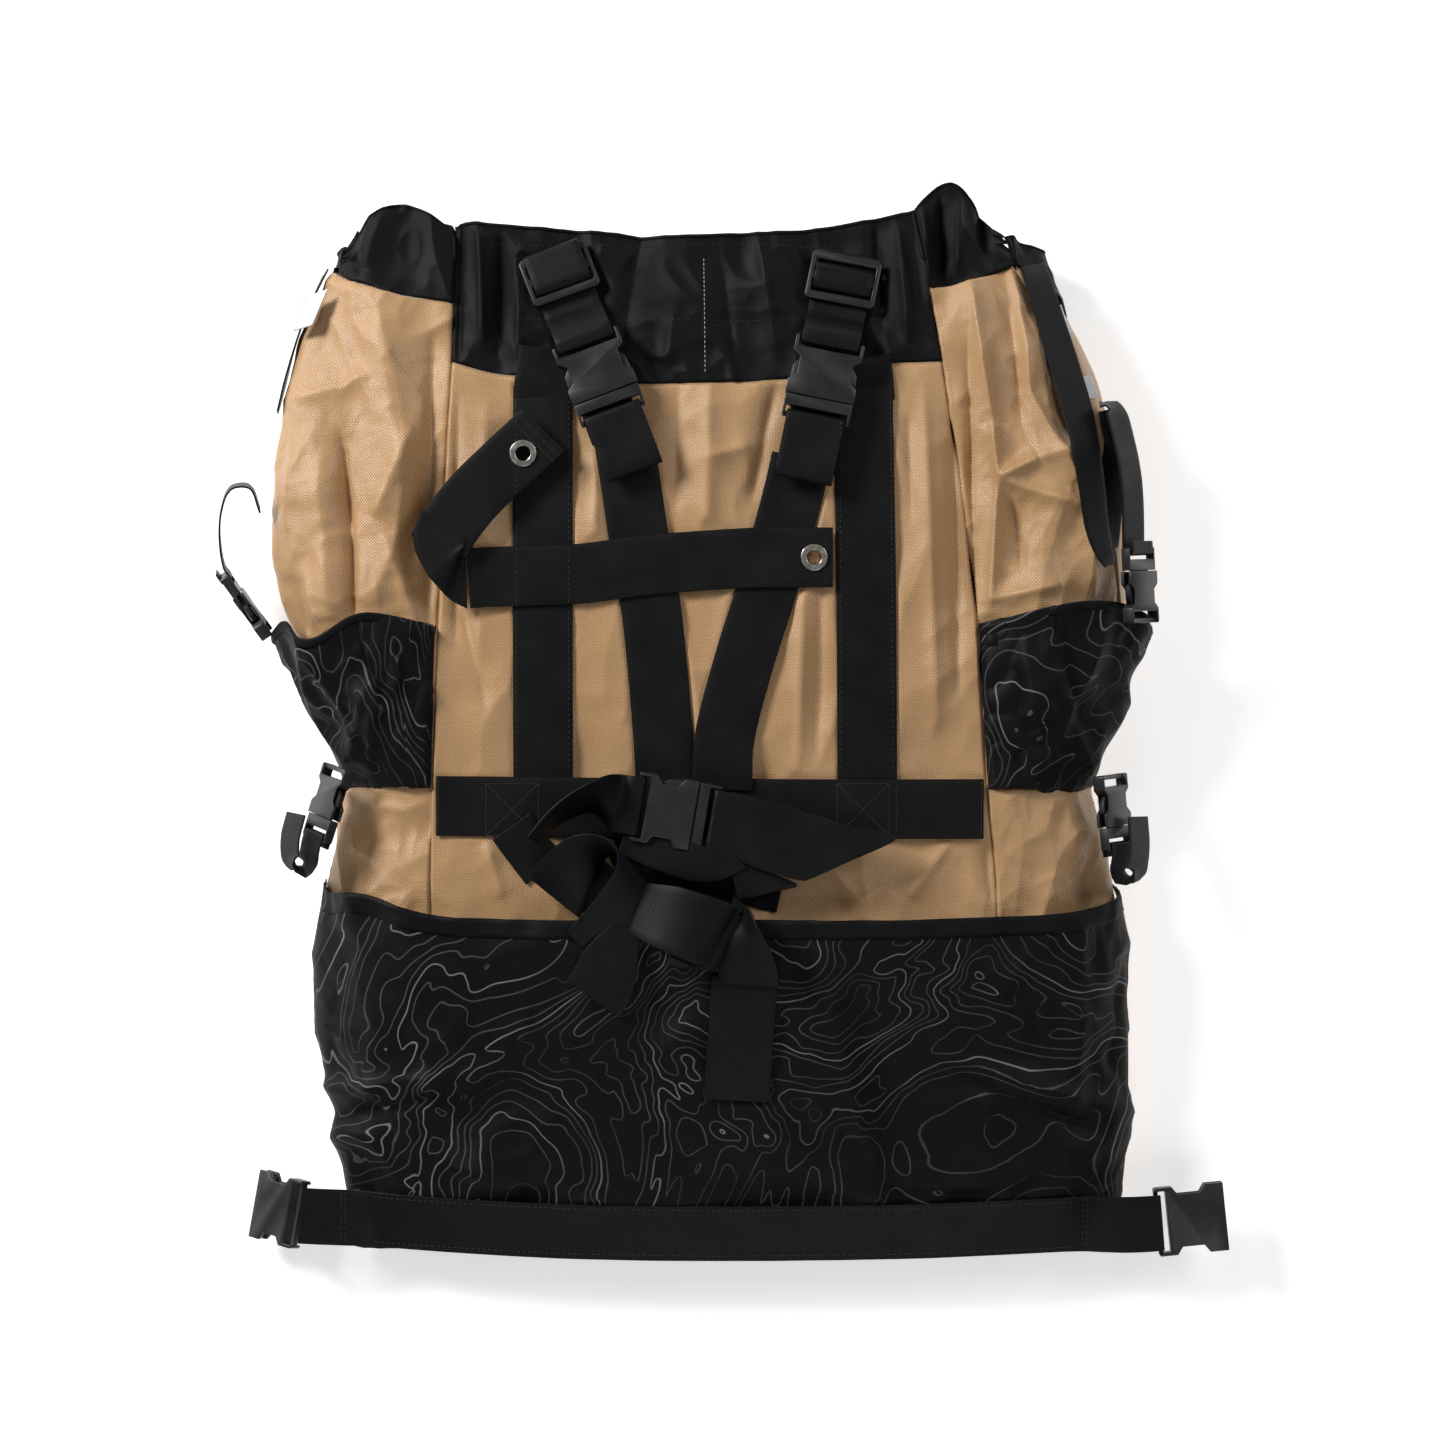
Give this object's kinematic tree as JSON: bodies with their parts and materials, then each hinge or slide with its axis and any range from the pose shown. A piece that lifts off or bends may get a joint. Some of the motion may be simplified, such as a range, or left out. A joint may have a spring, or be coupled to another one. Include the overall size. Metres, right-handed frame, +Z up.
{
  "type": "hunting backpack",
  "caption": "Frameless roll-top pack lying on its front: webbing harness, side-release buckles, bottle pockets and a full-width stow pocket.",
  "frame": {"origin": "on the floor under the middle of the pack, which lies on its front with the back panel up", "axes": "+Z up from the floor through the back panel, +Y from the base towards the mouth, +X to the right looking down on the back panel"},
  "size_m": [0.654, 0.693, 0.0981],
  "materials": {
    "tan_fabric": "tan coated oxford weave, slight sheen",
    "black_fabric": "plain black coated cloth",
    "printed_fabric": "black cloth with thin grey contour lines",
    "webbing": "black ribbed webbing",
    "buckle_plastic": "satin black moulded resin",
    "nickel": "nickel-plated eyelet"
  },
  "bodies": {
    "pack": {"back_panel": "tan_fabric", "left_side_panel": "tan_fabric", "right_side_panel": "tan_fabric", "front_panel": "tan_fabric", "base_panel": "black_fabric", "back_collar": "black_fabric", "left_collar": "black_fabric", "right_collar": "black_fabric", "front_collar": "black_fabric", "stow_panel": "printed_fabric", "left_bottle_pocket": "printed_fabric", "right_bottle_pocket": "printed_fabric", "left_frame_strap": "webbing", "right_frame_strap": "webbing", "left_yoke_strap": "webbing", "right_yoke_strap": "webbing", "waist_strap": "webbing", "grommet_strap": "webbing", "bottom_strap": "webbing", "left_shoulder_web": "webbing", "right_shoulder_web": "webbing", "belt_left": "webbing", "belt_left_tail": "webbing", "belt_centre": "webbing", "left_shoulder_female": "buckle_plastic", "right_shoulder_female": "buckle_plastic", "waist_female": "buckle_plastic", "left_upper_female": "buckle_plastic", "left_lower_female": "buckle_plastic", "right_upper_female": "buckle_plastic", "right_lower_female": "buckle_plastic", "right_grommet": "nickel"},
    "left_shoulder_plug": {"left_shoulder_male": "buckle_plastic", "left_shoulder_loop": "webbing"},
    "left_shoulder_arm_a": {"left_shoulder_prong_a": "buckle_plastic"},
    "left_shoulder_arm_b": {"left_shoulder_prong_b": "buckle_plastic"},
    "right_shoulder_plug": {"right_shoulder_male": "buckle_plastic", "right_shoulder_loop": "webbing"},
    "right_shoulder_arm_a": {"right_shoulder_prong_a": "buckle_plastic"},
    "right_shoulder_arm_b": {"right_shoulder_prong_b": "buckle_plastic"},
    "waist_plug": {"waist_male": "buckle_plastic", "belt_right": "webbing"},
    "waist_arm_a": {"waist_prong_a": "buckle_plastic"},
    "waist_arm_b": {"waist_prong_b": "buckle_plastic"},
    "left_slider": {"left_tri_glide": "buckle_plastic"},
    "right_slider": {"right_tri_glide": "buckle_plastic"},
    "cross_strap_end": {"grommet_strap_end": "webbing", "left_grommet": "nickel"},
    "bottom_left_buckle": {"bottom_left_female": "buckle_plastic"},
    "bottom_right_buckle": {"bottom_right_female": "buckle_plastic"},
    "left_upper_plug": {"left_upper_male": "buckle_plastic", "left_upper_strap": "webbing"},
    "left_lower_plug": {"left_lower_male": "buckle_plastic", "left_lower_strap": "webbing"},
    "right_upper_plug": {"right_upper_male": "buckle_plastic", "right_upper_strap": "webbing"},
    "right_lower_plug": {"right_lower_male": "buckle_plastic", "right_lower_strap": "webbing"},
    "belt_tail_end": {"belt_tail": "webbing"}
  },
  "joints": [
    {"name": "left_shoulder_release", "type": "slide", "parent": "pack", "child": "left_shoulder_plug", "axis": [0.3564, -0.93, 0.0901], "range_m": [0, 0.026]},
    {"name": "left_shoulder_squeeze_a", "type": "hinge", "parent": "left_shoulder_plug", "child": "left_shoulder_arm_a", "pos_m": [-0.06157, 0.21215, 0.07907], "axis": [0, 0.0965, 0.9953], "range_deg": [0, 8], "stiffness_Nm_per_rad": 0.4},
    {"name": "left_shoulder_squeeze_b", "type": "hinge", "parent": "left_shoulder_plug", "child": "left_shoulder_arm_b", "pos_m": [-0.08624, 0.20278, 0.07998], "axis": [0, 0.0965, 0.9953], "range_deg": [-8, 0], "stiffness_Nm_per_rad": 0.4},
    {"name": "right_shoulder_release", "type": "slide", "parent": "pack", "child": "right_shoulder_plug", "axis": [-0.1992, -0.9759, 0.0888], "range_m": [0, 0.026]},
    {"name": "right_shoulder_squeeze_a", "type": "hinge", "parent": "right_shoulder_plug", "child": "right_shoulder_arm_a", "pos_m": [0.07412, 0.20188, 0.08002], "axis": [0.001, 0.0904, 0.9959], "range_deg": [0, 8], "stiffness_Nm_per_rad": 0.4},
    {"name": "right_shoulder_squeeze_b", "type": "hinge", "parent": "right_shoulder_plug", "child": "right_shoulder_arm_b", "pos_m": [0.04824, 0.20712, 0.07957], "axis": [0.001, 0.0904, 0.9959], "range_deg": [-8, 0], "stiffness_Nm_per_rad": 0.4},
    {"name": "waist_release", "type": "slide", "parent": "pack", "child": "waist_plug", "axis": [0.9854, -0.1701, -0.0037], "range_m": [0, 0.026]},
    {"name": "waist_squeeze_a", "type": "hinge", "parent": "waist_plug", "child": "waist_arm_a", "pos_m": [-0.01566, -0.04601, 0.08084], "axis": [-0.0008, -0.0261, 0.9997], "range_deg": [0, 8], "stiffness_Nm_per_rad": 0.4},
    {"name": "waist_squeeze_b", "type": "hinge", "parent": "waist_plug", "child": "waist_arm_b", "pos_m": [-0.02015, -0.07202, 0.08016], "axis": [-0.0008, -0.0261, 0.9997], "range_deg": [-8, 0], "stiffness_Nm_per_rad": 0.4},
    {"name": "left_strap_adjust", "type": "slide", "parent": "pack", "child": "left_slider", "axis": [0.3516, -0.9173, 0.1867], "range_m": [-0.008, 0.008]},
    {"name": "right_strap_adjust", "type": "slide", "parent": "pack", "child": "right_slider", "axis": [-0.1961, -0.9607, 0.1968], "range_m": [-0.008, 0.008]},
    {"name": "cross_strap_flip", "type": "hinge", "parent": "pack", "child": "cross_strap_end", "pos_m": [-0.183, 0.1, 0.081], "axis": [0.936, -0.352, 0], "range_deg": [0, 100]},
    {"name": "bottom_left_swing", "type": "hinge", "parent": "pack", "child": "bottom_left_buckle", "pos_m": [-0.27261, -0.31686, 0.03542], "axis": [-0.1731, -0.9849, 0.0059], "range_deg": [-50, 10]},
    {"name": "bottom_right_swing", "type": "hinge", "parent": "pack", "child": "bottom_right_buckle", "pos_m": [0.28123, -0.32241, 0.02772], "axis": [-0.1015, 0.9948, 0], "range_deg": [-30, 12]},
    {"name": "left_upper_release", "type": "slide", "parent": "pack", "child": "left_upper_plug", "axis": [-0.5618, 0.8026, 0.2006], "range_m": [0, 0.016]},
    {"name": "left_lower_release", "type": "slide", "parent": "pack", "child": "left_lower_plug", "axis": [-0.3011, -0.9536, 0], "range_m": [0, 0.016]},
    {"name": "right_upper_release", "type": "slide", "parent": "pack", "child": "right_upper_plug", "axis": [-0.0499, 0.9986, 0.02], "range_m": [0, 0.016]},
    {"name": "right_lower_release", "type": "slide", "parent": "pack", "child": "right_lower_plug", "axis": [0.1005, -0.9949, 0], "range_m": [0, 0.016]},
    {"name": "belt_tail_lift", "type": "hinge", "parent": "pack", "child": "belt_tail_end", "pos_m": [0.014, -0.161, 0.081], "axis": [-1, 0, 0], "range_deg": [0, 70]}
  ],
  "couplings": [
    {"joint": "left_shoulder_squeeze_b", "follows": "left_shoulder_squeeze_a", "ratio": -1},
    {"joint": "right_shoulder_squeeze_b", "follows": "right_shoulder_squeeze_a", "ratio": -1},
    {"joint": "waist_squeeze_b", "follows": "waist_squeeze_a", "ratio": -1}
  ]
}
